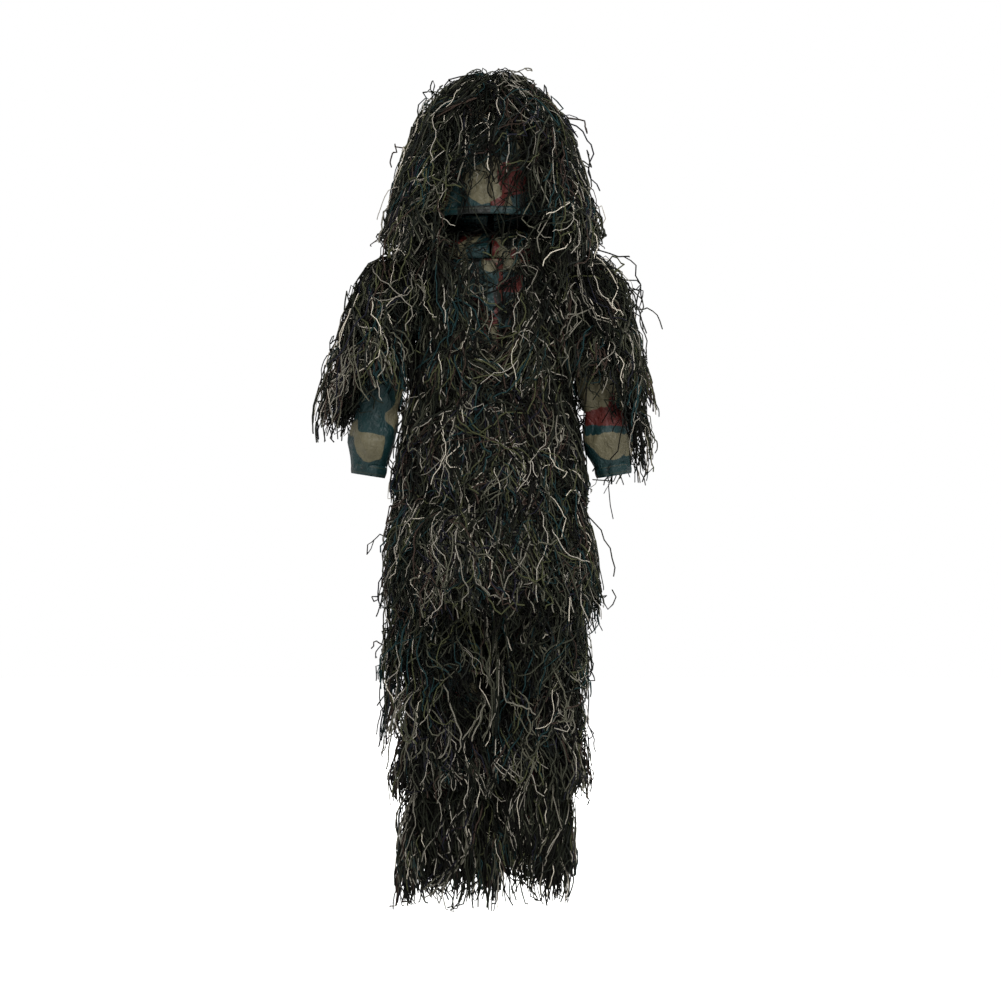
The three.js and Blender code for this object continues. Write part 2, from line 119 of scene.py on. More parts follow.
class Limb:
    """A straight limb: an axis from its top, and an oval section that changes along it."""

    front = np.array([0.0, -1.0, 0.0])

    def __init__(self, top, axis, along, across, deep, open_top=True):
        self.top = np.array(top, float)
        self.axis = unit(np.array(axis, float))
        self.side = np.cross(self.front, self.axis)
        self.along, self.across, self.deep = (np.array(x, float) for x in (along, across, deep))
        self.flat = np.where(self.across > 1 * MM, self.deep / np.maximum(self.across, 1 * MM), 0)
        self.flat = np.where(self.flat > 0, self.flat, self.flat[self.flat > 0][0])
        # The sides run on past the ends, for the yarn that hangs there.
        profile = np.c_[self.along, self.across]
        above = [profile[0] - (RUN_ON[0], 0)] if open_top else []
        profile = np.array([*above, *profile, profile[-1] + (RUN_ON[1], 0)])
        self.start, self.run = profile[:-1], np.diff(profile, axis=0)
        self.out = unit(np.c_[-self.run[:, 1], self.run[:, 0]])

    def section(self, s):
        """Half the width and half the depth, this far down."""
        return np.interp(s, self.along, self.across), np.interp(s, self.along, self.deep)

    def local(self, p):
        """How far points lie down the limb, to its side and to its front."""
        q = p - self.top
        return q @ self.axis, q @ self.side, q @ self.front

    def world(self, s, u, v):
        """The points that lie so far down, to the side and to the front."""
        s, u, v = (np.asarray(x, float)[..., None] for x in (s, u, v))
        return self.top + s * self.axis + u * self.side + v * self.front

    def point(self, s, angle, lift=0.0):
        """A point on the surface, an angle in degrees round from the front."""
        a, b = self.section(s)
        turn = np.radians(angle)
        return self.world(s, (a + lift) * np.sin(turn), (b + lift) * np.cos(turn))

    def slope(self, s, angle):
        """Which way is down along the surface."""
        return unit(self.point(s + 4 * MM, angle) - self.point(np.maximum(s - 4 * MM, 0), angle))

    def settle(self, p, least, most=np.inf):
        """Moves points square to the surface until their height over it is in range.
        Gives the new points, the way that the surface faces there, and the heights before."""
        s, u, v = self.local(p)
        v = v / np.interp(s, self.along, self.flat)
        around = np.maximum(np.hypot(u, v), 0.1 * MM)
        q = np.stack([s, around], -1)[:, None]
        share = ((q - self.start) * self.run).sum(-1) / (self.run**2).sum(-1)
        near = self.start + np.clip(share, 0, 1)[..., None] * self.run
        away = np.linalg.norm(q - near, axis=-1)
        best = away.argmin(-1)
        each = np.arange(len(best))
        near, away, out = near[each, best], away[each, best], self.out[best]
        gap = q[:, 0] - near
        height = np.where((gap * out).sum(-1) < 0, -away, away)
        normal = np.where(away[:, None] > 0.05 * MM, gap / np.where(height == 0, 1, height)[:, None], out)
        placed = near + normal * np.clip(height, least, most)[:, None]
        grow = np.maximum(placed[:, 1], 0) / around
        v_new = v * grow * np.interp(placed[:, 0], self.along, self.flat)
        facing = self.axis * normal[:, :1] + unit(self.world(0, u, v) - self.top) * normal[:, 1:]
        return self.world(placed[:, 0], u * grow, v_new), unit(facing), height


def corners(node):
    """The corners of a CAD node's mesh."""
    mesh = frame["nodes"][node].data
    co = np.empty(3 * len(mesh.vertices), np.float32)
    mesh.vertices.foreach_get("co", co)
    return co.reshape(-1, 3)


def upright_limb(nodes, x):
    """The limb inside a stack of CAD shells, read off their corners on the plane through x."""
    found = {}
    widths = {}
    for node in nodes:
        co = corners(node)
        line = co[np.abs(co[:, 0] - x) < LEVEL]
        for z in np.unique(np.round(line[:, 2], 4)):
            level = co[np.abs(co[:, 2] - z) < LEVEL]
            found[z] = np.abs(line[np.abs(line[:, 2] - z) < LEVEL][:, 1]).max()
            widths[z] = np.abs(level[:, 0] - x).max()
    heights = sorted(found, reverse=True)
    top = heights[0]
    along = [top - z for z in heights]
    return Limb((x, 0, top), (0, 0, -1), along, [widths[z] for z in heights], [found[z] for z in heights])


joint_at = {j["name"]: j.get("pos_m") for j in frame["joints"]}


def middle(node):
    """The middle of a CAD node's box."""
    low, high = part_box(node)
    return (low + high) / 2


def arm(side):
    """The limb inside a sleeve: a dome at the shoulder, then a taper to the cuff."""
    shoulder = np.array(joint_at[side + "_sleeve_swing"])
    cuff = np.array(middle(side + "_cuff_elastic"))
    low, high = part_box(side + "_sleeve")
    ball = (high.y - low.y) / 2
    cuff_low, cuff_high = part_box(side + "_cuff_elastic")
    wrist = (cuff_high.y - cuff_low.y) / 2
    axis = unit(cuff - shoulder)
    length = np.linalg.norm(cuff - shoulder)
    dome = [0, 0.06, 0.2, 0.5, 1.0]
    along = [ball * t for t in dome] + [ball * 1.9, ball + length]
    across = [ball * math.sqrt(1 - (1 - t) ** 2) for t in dome] + [ball * 0.9, wrist]
    return Limb(shoulder - axis * ball, axis, along, across, across, open_top=False)


HEAD_RISE = 0.11  # from the brow to the crown
HEAD_HALF_WIDTH = 0.098  # at the brow


def head():
    """The dome inside the hood, as high as its panels, which flares to their width at the hem."""
    low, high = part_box("left_hood_panel")
    turns = np.radians(np.linspace(0, 90, 8))
    along = [*(HEAD_RISE * (1 - np.cos(turns))), high.z - low.z]
    across = [*(HEAD_HALF_WIDTH * np.sin(turns)), high.x]
    share = high.y / high.x
    return Limb((0, 0, high.z), (0, 0, -1), along, across, [x * share for x in across], open_top=False)


def torso():
    """The oval trunk inside the jacket, as deep as the jacket's back is at each height."""
    co = corners("jacket_back")
    line = co[np.abs(co[:, 0]) < LEVEL]
    heights = sorted({round(float(z), 4) for z in line[:, 2]}, reverse=True)
    deep = [float(line[np.abs(line[:, 2] - z) < LEVEL][:, 1].max()) for z in heights]
    low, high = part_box("jacket_back")
    share = high.x / high.y
    along = [heights[0] - z for z in heights]
    return Limb((0, 0, heights[0]), (0, 0, -1), along, [y * share for y in deep], deep, open_top=False)


TORSO = torso()
HEAD = head()
ARMS = {side: arm(side) for side in ("left", "right")}
LEGS = {
    side: upright_limb([side + "_thigh", side + "_shin"], middle(side + "_thigh").x)
    for side in ("left", "right")
}

# ---- materials ----


def add_node(tree, kind, inputs=(), **settings):
    """Adds a node. Settings name its properties or sockets, and inputs gives a socket, by its name
    or its number, a value or another node's output."""
    node = tree.nodes.new(kind)
    for name, value in settings.items():
        if hasattr(node, name):
            setattr(node, name, value)
        else:
            node.inputs[name.replace("_", " ")].default_value = value
    for socket, source in dict(inputs).items():
        if isinstance(source, bpy.types.NodeSocket):
            tree.links.new(source, node.inputs[socket])
        else:
            node.inputs[socket].default_value = source
    return node


def start_material(name, **shader_settings):
    """A new material, with its node tree and its shader. Settings name the shader's sockets."""
    material = bpy.data.materials.new(name)
    material.use_nodes = True
    tree = material.node_tree
    shader = tree.nodes["Principled BSDF"]
    for socket, value in shader_settings.items():
        shader.inputs[socket.replace("_", " ")].default_value = value
    return material, tree, shader


def set_ramp(ramp, stops, interpolation="LINEAR"):
    """Fills a colour ramp from (position, hex colour) stops."""
    ramp.interpolation = interpolation
    while len(ramp.elements) < len(stops):
        ramp.elements.new(1.0)
    for element, (position, colour) in zip(ramp.elements, stops):
        element.position = position
        element.color = linear(colour)


# Each dye, and the tone that it starts at. The last three are undyed.
YARN_COLOURS = [
    (0.00, "#0a0a08"), (0.14, "#1c1e17"), (0.28, "#0d100d"), (0.38, "#32332a"), (0.46, "#152728"),
    (0.53, "#383a27"), (0.60, "#1a1c19"), (0.67, "#2e2520"), (0.73, "#17171f"), (0.78, "#4a493e"),
    (0.86, "#605d54"), (0.93, "#6d6960"), (0.955, "#8a857b"), (0.98, "#a8a193"),
]


WAVE_BAND = math.tau / 20  # how wide a wave texture's band is at a scale of 1; twice that if diagonal
PLIES = 2  # yarns twisted together, which show as stripes; the stripes' darkening is painted shade of the twist
MIX_A, MIX_B, MIXED = 6, 7, 2  # a colour mix's sockets go by number


def make_yarn_material():
    """Plied synthetic jute, dyed in forest shades: matt, hairy, with a ply that shows up close."""
    material, tree, shader = start_material(
        "Plied synthetic jute yarn", Roughness=0.75, Specular_IOR_Level=0.04
    )
    tone = add_node(tree, "ShaderNodeAttribute", attribute_name="tone")
    ramp = add_node(tree, "ShaderNodeValToRGB", {"Fac": tone.outputs["Fac"]})
    set_ramp(ramp.color_ramp, YARN_COLOURS, "CONSTANT")
    ply_map = add_node(tree, "ShaderNodeUVMap", uv_map="Ply")
    ply = add_node(
        tree, "ShaderNodeTexWave", {"Vector": ply_map.outputs["UV"]}, wave_type="BANDS",
        bands_direction="DIAGONAL", Scale=2 * WAVE_BAND * PLIES, Distortion=0.6,
    ).outputs["Fac"]
    # painted shade: the yarn's colour is darkened to 0.6 in stripes along the ply's twist, picking out its
    # turns
    shade = add_node(
        tree, "ShaderNodeMix", {0: ply, MIX_A: ramp.outputs["Color"], MIX_B: (0.6, 0.6, 0.6, 1)},
        data_type="RGBA", blend_type="MULTIPLY",
    )
    bump = add_node(tree, "ShaderNodeBump", {"Height": ply}, Strength=0.5, Distance=0.4 * MM)
    tree.links.new(shade.outputs[MIXED], shader.inputs["Base Color"])
    tree.links.new(bump.outputs["Normal"], shader.inputs["Normal"])
    return material


DYE_COLOURS = {"tan": "#4c4837", "teal": "#0b2223", "red_brown": "#3f1511", "black": "#0c0f0d"}
# Printed over the tan in this order: the dye, how large its patches are in metres, where its noise
# is read, and the level at which a patch begins.
PRINTS = (
    ("teal", 0.10, (0.0, 0.0, 0.0), 0.5),
    ("red_brown", 0.085, (3.1, 1.7, 0.0), 0.58),
    ("black", 0.07, (7.7, 4.2, 0.0), 0.6),
)
PRINT_EDGE = 0.006  # how far over that level a patch takes to reach full colour
STITCH_ROW = 4.5 * MM  # how far in from a hemmed edge the stitches run


def make_camouflage_material():
    """Printed polyester taffeta: a thin, close weave whose filaments give folds a soft shine."""
    material, tree, shader = start_material(
        "Printed polyester taffeta", Roughness=0.5, Specular_IOR_Level=0.16
    )
    cut = add_node(tree, "ShaderNodeUVMap", uv_map="Cloth").outputs["UV"]
    colour = linear(DYE_COLOURS["tan"])
    for dye, size, at, level in PRINTS:
        shift = add_node(tree, "ShaderNodeMapping", {"Vector": cut}, Location=at)
        shape = add_node(
            tree, "ShaderNodeTexNoise", {"Vector": shift.outputs["Vector"]},
            Scale=1 / size, Detail=2.0, Roughness=0.42, Distortion=0.7,
        )
        bias = add_node(tree, "ShaderNodeAttribute", attribute_name=dye)
        amount = add_node(
            tree, "ShaderNodeMath", {0: shape.outputs["Fac"], 1: bias.outputs["Fac"]}, operation="ADD"
        )
        mask = add_node(
            tree, "ShaderNodeMapRange", {"Value": amount.outputs[0]},
            From_Min=level - PRINT_EDGE, From_Max=level + PRINT_EDGE,
        )
        inks = {0: mask.outputs["Result"], MIX_A: colour, MIX_B: linear(DYE_COLOURS[dye])}
        colour = add_node(tree, "ShaderNodeMix", inks, data_type="RGBA").outputs[MIXED]
    # The dye takes a little unevenly, in blotches of a few centimetres.
    fade = add_node(tree, "ShaderNodeTexNoise", {"Vector": cut}, Scale=30.0, Detail=4.0)
    worn = add_node(
        tree, "ShaderNodeMix", {0: 0.5, MIX_A: colour, MIX_B: fade.outputs["Fac"]},
        data_type="RGBA", blend_type="MULTIPLY",
    ).outputs[MIXED]

    # A row of lock stitches, 1.2 mm wide, along each hemmed edge.
    edge = add_node(tree, "ShaderNodeAttribute", attribute_name="hem").outputs["Fac"]
    rows = add_node(tree, "ShaderNodeMath", {0: edge, 1: STITCH_ROW}, operation="PINGPONG").outputs[0]
    on_row = add_node(
        tree, "ShaderNodeMath", {0: rows, 1: STITCH_ROW - 0.6 * MM}, operation="GREATER_THAN"
    )
    near = add_node(tree, "ShaderNodeMath", {0: edge, 1: STITCH_ROW + 1.5 * MM}, operation="LESS_THAN")
    stitch = add_node(
        tree, "ShaderNodeMath", {0: on_row.outputs[0], 1: near.outputs[0]}, operation="MULTIPLY"
    )
    threaded = {0: stitch.outputs[0], MIX_A: worn, MIX_B: linear("#20241c")}
    sewn = add_node(tree, "ShaderNodeMix", threaded, data_type="RGBA")
    tree.links.new(sewn.outputs[MIXED], shader.inputs["Base Color"])

    # Threads 0.3 mm apart are too fine to show, so the weave is drawn at 1.4 mm.
    warp, weft = (
        add_node(
            tree, "ShaderNodeTexWave", {"Vector": cut}, bands_direction=way,
            Scale=WAVE_BAND / (1.4 * MM), Distortion=0.3,
        ).outputs["Fac"]
        for way in ("X", "Y")
    )
    weave = add_node(tree, "ShaderNodeMath", {0: warp, 1: weft}, operation="ADD").outputs[0]
    fine = add_node(tree, "ShaderNodeBump", {"Height": weave}, Strength=0.12, Distance=0.3 * MM)
    # Thin cloth keeps its crumples, about 14 mm across.
    crumple = add_node(tree, "ShaderNodeTexNoise", {"Vector": cut}, Scale=70.0, Detail=3.0, Distortion=1.0)
    soft = add_node(
        tree, "ShaderNodeBump", {"Height": crumple.outputs["Fac"], "Normal": fine.outputs["Normal"]},
        Strength=0.8, Distance=6 * MM,
    )
    tree.links.new(soft.outputs["Normal"], shader.inputs["Normal"])
    return material


def make_metal_material(name, oxide, bare, roughness):
    """Pressed sheet brass under a dark finish that has rubbed through in small spots."""
    material, tree, shader = start_material(name, Metallic=1.0)
    place = add_node(tree, "ShaderNodeTexCoord").outputs["Object"]
    rubbed = add_node(tree, "ShaderNodeTexNoise", {"Vector": place}, Scale=1 / (2.5 * MM), Detail=3.0)
    spots = add_node(tree, "ShaderNodeValToRGB", {"Fac": rubbed.outputs["Fac"]})
    set_ramp(spots.color_ramp, [(0.0, oxide), (0.56, oxide), (0.66, bare)])
    handled = add_node(
        tree, "ShaderNodeMapRange", {"Value": rubbed.outputs["Fac"]},
        To_Min=roughness + 0.15, To_Max=roughness - 0.1,
    )
    # The press leaves a fine orange-peel skin, about half a millimetre across.
    skin = add_node(tree, "ShaderNodeTexNoise", {"Vector": place}, Scale=1 / (0.5 * MM), Detail=2.0)
    bump = add_node(
        tree, "ShaderNodeBump", {"Height": skin.outputs["Fac"]}, Strength=0.25, Distance=0.1 * MM
    )
    tree.links.new(spots.outputs["Color"], shader.inputs["Base Color"])
    tree.links.new(handled.outputs["Result"], shader.inputs["Roughness"])
    tree.links.new(bump.outputs["Normal"], shader.inputs["Normal"])
    return material


def finish_metal_parts():
    """The press studs and the cord's eyelets keep the shapes that they already have."""
    snaps = make_metal_material("Black-oxide pressed brass", "#1c1b18", "#6b5b3a", 0.42)
    eyelets = make_metal_material("Antiqued brass eyelet", "#3a3222", "#8a744a", 0.36)
    for name, node in frame["nodes"].items():
        if "snap_" in name or "eyelet" in name:
            for held in node.material_slots:
                held.material = eyelets if "eyelet" in name else snaps


YARN = make_yarn_material()
CAMOUFLAGE = make_camouflage_material()
finish_metal_parts()

# ---- cloth ----


def ripple(p, size, seed=0.0):
    """Smooth noise from -1 to 1, as large as size, at each point."""
    size = np.asarray(size, float)
    shifted = np.asarray(p) / size + seed * 7.31
    return np.array([noise.noise(Vector(q)) for q in shifted])


def creases(p, size, seed=0.0):
    """Noise with sharp ridges and soft hollows, as crumpled cloth has."""
    return 1 - 3 * np.abs(ripple(p, size, seed))


def pleats(p, s, edge, reach, limb, width=9 * MM, seed=0.0):
    """Gathers that run down the cloth into an elastic, and fade away from it."""
    axis_free = p - limb.top - np.outer((p - limb.top) @ limb.axis, limb.axis) * 0.85
    return ripple(axis_free, width, seed) * np.exp(-np.abs(s - edge) / reach)


def finish_mesh(name, work, thickness):
    """Gives a sheet its thickness inwards, and makes it an object at the origin."""
    mesh = bpy.data.meshes.new(name + "_flat")
    work.to_mesh(mesh)
    work.free()
    mesh.materials.append(CAMOUFLAGE)
    mesh.shade_smooth()
    piece = add_object(name, mesh)
    solid = piece.modifiers.new("Thickness", "SOLIDIFY")
    solid.thickness = thickness
    solid.offset = -1
    done = shaped_mesh(name, piece)
    piece.modifiers.clear()
    piece.data = done
    bpy.data.meshes.remove(mesh)
    return piece


def hand_over(piece, body, nodes):
    """A piece rides on one body; where it crosses the joint between two, it is only fixed in place, parented
    to neither. It stands for its CAD nodes."""
    if isinstance(body, str):
        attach(piece, body)
    else:
        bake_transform(piece)
    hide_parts(*nodes)


def turned(angle):
    """An angle as the shortest turn from the front, left positive."""
    return (np.asarray(angle) + 180) % 360 - 180


def patch_bias(dye, patches, height, turn, radius):
    """How much more of a dye the print holds here: each patch is (dye, height, angle, size, amount)."""
    bias = np.zeros(len(height))
    for colour, s, angle, size, amount in patches:
        if colour == dye:
            away = np.hypot(height - s, np.radians(turned(turn - angle)) * radius)
            bias += amount * np.exp(-((away / size) ** 4))
    return bias


def lay_flat(work, across, down):
    """Gives the cloth its flat map, in metres."""
    uv = work.loops.layers.uv.new("Cloth")
    for face in work.faces:
        for loop in face.loops:
            k = loop.vert.index
            loop[uv].uv = (across[k], down[k])


def mark(work, name, values):
    """Writes a number on each corner of the cloth, for the material to read."""
    layer = work.verts.layers.float.new(name)
    for vert, value in zip(work.verts, values):
        vert[layer] = value


def cloth_panel(
    name, limb, body, nodes, s, angles, fold=None, lift=0.0, carve=(), cell=9 * MM,
    thickness=CLOTH, slot="camouflage_cloth", hems=(), print_at=(0, 0), patches=(),
):
    """A panel of cloth wrapped round a limb between two heights and two angles.
    fold gives each point's height over the limb, and carve takes out what lies inside a limb."""
    widest = limb.section(np.linspace(*s, 20))[0].max()
    girth = math.radians(angles[1] - angles[0]) * widest
    cols, rows = max(3, round(girth / cell)), max(2, round((s[1] - s[0]) / cell))
    work = bmesh.new()
    bmesh.ops.create_grid(work, x_segments=cols, y_segments=rows, size=0.5)
    turn = angles[0] + (angles[1] - angles[0]) * np.array([v.co.x + 0.5 for v in work.verts])
    height = s[0] + (s[1] - s[0]) * np.array([0.5 - v.co.y for v in work.verts])

    across = np.radians(turn - (angles[0] + angles[1]) / 2) * widest
    lay_flat(work, across + print_at[0], print_at[1] - height)
    edges = {
        "top": height - s[0], "bottom": s[1] - height,
        "start": np.radians(turn - angles[0]) * widest, "end": np.radians(angles[1] - turn) * widest,
    }
    unhemmed = np.full(len(turn), 0.2)
    mark(work, "hem", np.min([unhemmed, *(edges[hem] for hem in hems)], axis=0))
    for dye, *_ in PRINTS:
        mark(work, dye, patch_bias(dye, patches, height, turn, widest))

    flat_points = limb.point(height, turn)
    rise = np.full(len(turn), lift)
    if fold:
        rise = rise + fold(flat_points, height, turn)
    facing = limb.settle(flat_points + limb.front * 1e-9, -1, 1)[1]
    for vert, co in zip(work.verts, flat_points + facing * rise[:, None]):
        vert.co = co
    if carve:
        middles = np.array([f.calc_center_median() for f in work.faces])
        inside = np.any([other.settle(middles, -1, 1)[2] < margin for other, margin in carve], axis=0)
        doomed = [f for f, gone in zip(list(work.faces), inside) if gone]
        bmesh.ops.delete(work, geom=doomed, context="FACES")
    bmesh.ops.remove_doubles(work, verts=work.verts, dist=0.2 * MM)
    bmesh.ops.recalc_face_normals(work, faces=work.faces)
    middles = np.array([f.calc_center_median() for f in work.faces])
    outward = limb.settle(middles, -1, 1)[1]
    if sum(f.normal.dot(way) for f, way in zip(work.faces, outward)) < 0:
        bmesh.ops.reverse_faces(work, faces=work.faces)
    area = sum(f.calc_area() for f in work.faces)
    piece = finish_mesh(name, work, thickness)
    hand_over(piece, body, nodes)


def opening(side):
    """Where the jacket's front folds open: the suit's body outside it, and its flap inside it."""
    sign = 1 if side == "left" else -1
    return ("suit_body", side + "_flap", (sign * 0.112, -0.1, -0.3), (sign * 0.078, -0.1, -0.3))


def knee_bend(side):
    """Where the cloth of a leg bends, over 80 mm at the knee."""
    x, _, knee = joint_at[side + "_knee_bend"]
    return ("suit_body", side + "_lower_leg", (x, 0, knee + 0.04), (x, 0, knee - 0.04))


def stripe(dye, s, size, amount):
    """Patches that join in a band of a dye across the front of a sleeve."""
    return [(dye, s + 0.00008 * turn, turn, size, amount) for turn in range(-60, 61, 20)]


def teal_band(s):
    """Patches that make a narrow band at this height mostly teal."""
    return [("teal", s, 0, 0.5, 0.5), ("red_brown", s, 0, 0.5, -0.5)]


SLEEVE_PRINT = {"left": (0.13, 0.4), "right": (0.55, 0.15)}
HOOD_PRINT = {"left": (0.0, 0.0), "right": (0.7, 0.3)}
SLEEVE_PATCHES = {
    "left": [
        ("red_brown", 0.36, 0, 0.05, -0.3), *stripe("red_brown", 0.297, 0.014, 0.4),
        ("teal", 0.35, 0, 0.028, -0.5), *stripe("teal", 0.316, 0.011, 0.4),
        *stripe("teal", 0.388, 0.017, 0.4), ("teal", 0.24, 0, 0.045, -0.5), ("black", 0.3, 0, 0.09, -0.3),
    ],
    "right": [
        ("red_brown", 0.33, 0, 0.1, -0.3), ("black", 0.32, 0, 0.08, -0.2), ("teal", 0.3, -10, 0.03, 0.5),
        # partly print, partly painted shadow: the teal patch at 62 degrees darkens the inner side of the
        # right forearm, where the sleeve's yarn shades it
        ("teal", 0.352, -8, 0.03, -0.5), ("teal", 0.345, 62, 0.026, 0.8), *stripe("teal", 0.389, 0.015, 0.4),
    ],
}
FRONT_PATCHES = [
    ("teal", 0.1, 0, 0.03, 0.4), ("teal", 0.15, 10, 0.03, 0.5), ("red_brown", 0.2, 12, 0.022, 0.6),
    ("teal", 0.23, 0, 0.02, -0.4), ("red_brown", 0.265, 12, 0.018, 0.6), ("teal", 0.066, 0, 0.02, -0.6),
]
HOOD_PATCHES = [
    ("red_brown", 0.2, -12, 0.035, -0.3), ("teal", 0.2, -4, 0.04, -0.35), ("teal", 0.12, 10, 0.032, 0.45),
    ("red_brown", 0.195, 20, 0.03, 0.5), ("red_brown", 0.22, -60, 0.028, 0.4), ("black", 0.2, 0, 0.05, -0.3),
    ("teal", 0.256, 0, 0.014, 0.4),
]

BAND = {"thickness": ELASTIC, "slot": "elastic", "hems": ["top", "bottom"]}
JACKET_LENGTH = 0.582
YOKE_DEPTH = 0.055
FRONT_TOP = 0.0565  # just under the yoke's seam
HALF_FRONT = {"left": (1, 90), "right": (-90, -1)}
PLACKET = (-5.3, 9.7)  # the over placket, from the edge that laps over to its seam
ARM_HOLES = [(ARMS["left"], -3 * MM), (ARMS["right"], -3 * MM)]


def make_jacket_cloth():
    drape = lambda p, s, turn: 2.2 * MM * creases(p, 70 * MM) + 1.2 * MM * ripple(p, 25 * MM) - 3 * MM
    cloth_panel("jacket_back_cloth", TORSO, "suit_body", ["jacket_back"], (0, JACKET_LENGTH), (90, 270),
                fold=drape, carve=ARM_HOLES, hems=["bottom"])
    for side, sign, opens in (("left", 1, "start"), ("right", -1, "end")):
        cloth_panel(f"{side}_yoke_cloth", TORSO, "suit_body", [f"{side}_side_panel"], (0, YOKE_DEPTH),
                    HALF_FRONT[side], fold=drape, carve=ARM_HOLES, cell=7 * MM, print_at=(0.3, sign))
        cloth_panel(f"{side}_front_cloth", TORSO, opening(side), [f"{side}_front_panel"],
                    (FRONT_TOP, JACKET_LENGTH), HALF_FRONT[side], fold=drape, carve=ARM_HOLES, cell=8 * MM,
                    hems=["bottom", opens], print_at=(0.4 * sign, 0.7), patches=FRONT_PATCHES)
    over = lambda p, s, turn: (
        5.6 * MM * np.clip((PLACKET[1] - turn) / 4, 0, 1) + 0.6 * MM * creases(p, 40 * MM))
    cloth_panel("left_placket_cloth", TORSO, "left_flap", ["left_placket"], (FRONT_TOP, JACKET_LENGTH),
                PLACKET, fold=over, cell=3.5 * MM, hems=["start", "end", "top", "bottom"],
                print_at=(0.9, 0.2), patches=FRONT_PATCHES)
    cloth_panel("right_placket_cloth", TORSO, "right_flap", ["right_placket"], (FRONT_TOP, JACKET_LENGTH),
                (PLACKET[0], -PLACKET[0]), lift=0.8 * MM, cell=4 * MM, hems=["start", "end"],
                print_at=(0.2, 0.2))
    _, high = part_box("jacket_collar")
    deep = 0.0305
    stand = Limb((0, 0, high.z), (0, 0, -1), [0, deep], [high.x] * 2, [high.y] * 2)
    roll = lambda p, s, turn: 3 * MM * (1 - s / deep) ** 2 + 1.2 * MM * ripple(p, 18 * MM) - 2 * MM
    cloth_panel("jacket_collar_cloth", stand, "suit_body", ["jacket_collar"], (0, 0.03), (5, 355),
                fold=roll, cell=4 * MM, thickness=2 * CLOTH, hems=["top", "start", "end"],
                print_at=(1.4, 0.1), patches=teal_band(0.015))


CUFF_DEPTH = 0.022


def make_sleeves():
    for side, limb in ARMS.items():
        cuff = limb.along[-1]

        def blouse(p, s, turn, limb=limb, cuff=cuff):
            """The sleeve blouses over its cuff, and its folds are gathered in there."""
            gathered = np.exp(-np.maximum(cuff - 0.012 - s, 0) / 0.022)
            fullness = 12 * MM * np.exp(-(((s - (cuff - 0.05)) / 0.04) ** 2))
            folds = 5 * MM * creases(p, (34 * MM, 34 * MM, 75 * MM), 3) * (1 - 0.5 * gathered)
            return fullness + folds + 8 * MM * pleats(p, s, cuff, 0.034, limb, 15 * MM, seed=1) - 4 * MM

        cloth_panel(f"{side}_sleeve_cloth", limb, f"{side}_arm", [f"{side}_sleeve"], (0.0, cuff), (90, 450),
                    fold=blouse, carve=[(TORSO, -4 * MM)], cell=4.5 * MM, print_at=SLEEVE_PRINT[side],
                    patches=SLEEVE_PATCHES[side])
        band = lambda p, s, turn, limb=limb, cuff=cuff: (
            3.4 * MM * pleats(p, s, cuff, 1.0, limb, 10 * MM, seed=1)
            + 2 * MM * np.cos((s - cuff) / CUFF_DEPTH * math.pi))
        cloth_panel(f"{side}_cuff_band", limb, f"{side}_arm", [f"{side}_cuff_elastic"],
                    (cuff - CUFF_DEPTH / 2, cuff + CUFF_DEPTH / 2), (90, 450), fold=band, cell=2.5 * MM,
                    print_at=(0.3, 0.1), patches=teal_band(cuff), **BAND)


def make_gusset():
    """The lozenge between the legs. Its ends rise a little."""
    low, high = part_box("crotch_gusset")
    width, length = high.x - low.x, high.y - low.y
    work = bmesh.new()
    bmesh.ops.create_grid(work, x_segments=10, y_segments=24, size=0.5)
    lay_flat(work, *(np.array([vert.co.xy for vert in work.verts]) * 0.2).T)
    for vert in work.verts:
        along = vert.co.y * 2
        vert.co.x *= width * math.sqrt(max(0, 1 - 0.8 * along**2))
        vert.co.y *= length
        vert.co.z = high.z + 3 * MM * along**2
    gusset = finish_mesh("crotch_gusset_cloth", work, CLOTH)
    hand_over(gusset, "suit_body", ["crotch_gusset"])


def make_trouser_cloth():
    low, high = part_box("trouser_seat")
    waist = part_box("waist_elastic")[1]
    height = high.z - low.z
    seat = Limb((0, 0, high.z), (0, 0, -1), [0, 0.03, height], [waist.x, 0.12, high.x - 1 * MM],
                [waist.y, 0.09, high.y - 1 * MM])
    drape = lambda p, s, turn: 2 * MM * creases(p, 60 * MM, 5) - 2.5 * MM
    cloth_panel("trouser_seat_cloth", seat, "suit_body", ["trouser_seat"], (0, height), (0, 360), fold=drape)
    belt = lambda p, s, turn: 1.6 * MM * pleats(p, s, 0.02, 1.0, seat, 7 * MM)
    cloth_panel("waist_band", seat, "suit_body", ["waist_elastic"], (0.006, 0.034), (0, 360), fold=belt,
                cell=5 * MM, lift=1.5 * MM, **BAND)
    make_gusset()
    for side, limb in LEGS.items():
        length = limb.along[-1]
        fall = lambda p, s, turn, limb=limb, length=length: (
            2.2 * MM * creases(p, (60 * MM, 60 * MM, 90 * MM), 8)
            + 3 * MM * pleats(p, s, length, 0.03, limb) - 3 * MM)
        cloth_panel(f"{side}_trouser_leg", limb, knee_bend(side), [f"{side}_thigh", f"{side}_shin"],
                    (0, length), (90, 450), fold=fall, print_at=(limb.top[0] * 9, 0))
        band = lambda p, s, turn, limb=limb, length=length: (
            1.8 * MM * pleats(p, s, length, 1.0, limb, 6 * MM))
        cloth_panel(f"{side}_ankle_band", limb, f"{side}_lower_leg", [f"{side}_ankle_elastic"],
                    (length - 0.02, length + 0.004), (90, 450), fold=band, cell=4 * MM, **BAND)


